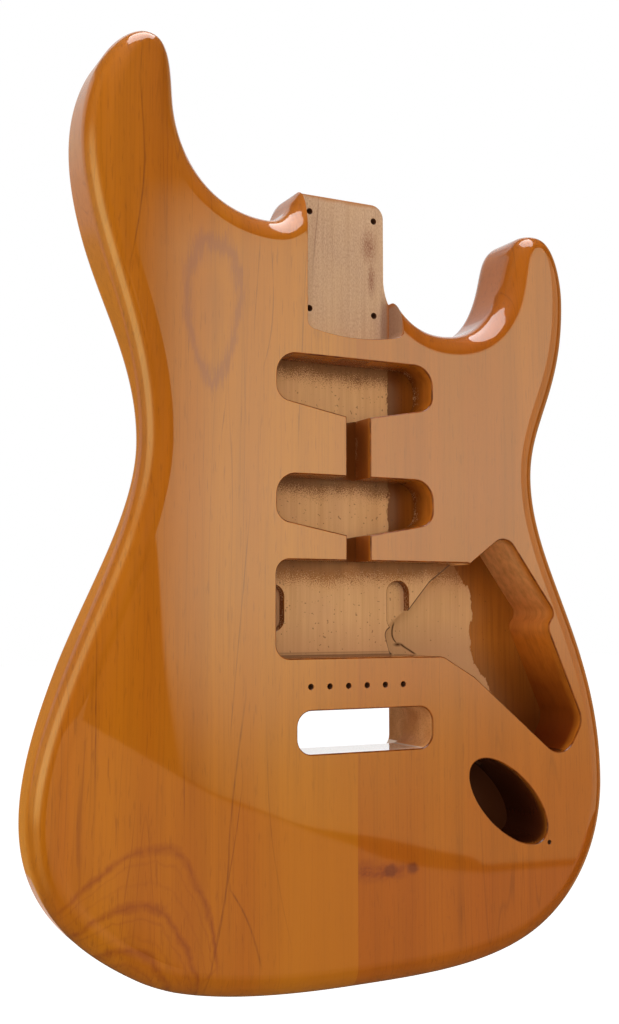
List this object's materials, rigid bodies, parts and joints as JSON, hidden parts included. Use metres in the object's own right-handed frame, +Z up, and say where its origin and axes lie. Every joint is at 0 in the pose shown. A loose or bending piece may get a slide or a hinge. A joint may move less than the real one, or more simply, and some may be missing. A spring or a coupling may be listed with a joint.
{
  "type": "electric guitar body",
  "caption": "Solid wooden double-cutaway guitar body with a bolt-on neck pocket, routed pickup, control and jack cavities, a tremolo slot, a forearm contour and a belly cut.",
  "frame": {"origin": "on the floor of the neck pocket, in the middle of the four neck bolt holes", "axes": "+Z up the neck, away from the tail; -Y out of the front face; +X towards the treble side"},
  "size_m": [0.319, 0.0445, 0.465],
  "materials": {
    "bass_wood": "gloss amber lacquer",
    "treble_wood": "gloss amber lacquer"
  },
  "bodies": {
    "root": {"bass_board": "bass_wood", "treble_board": "treble_wood"}
  },
  "joints": []
}
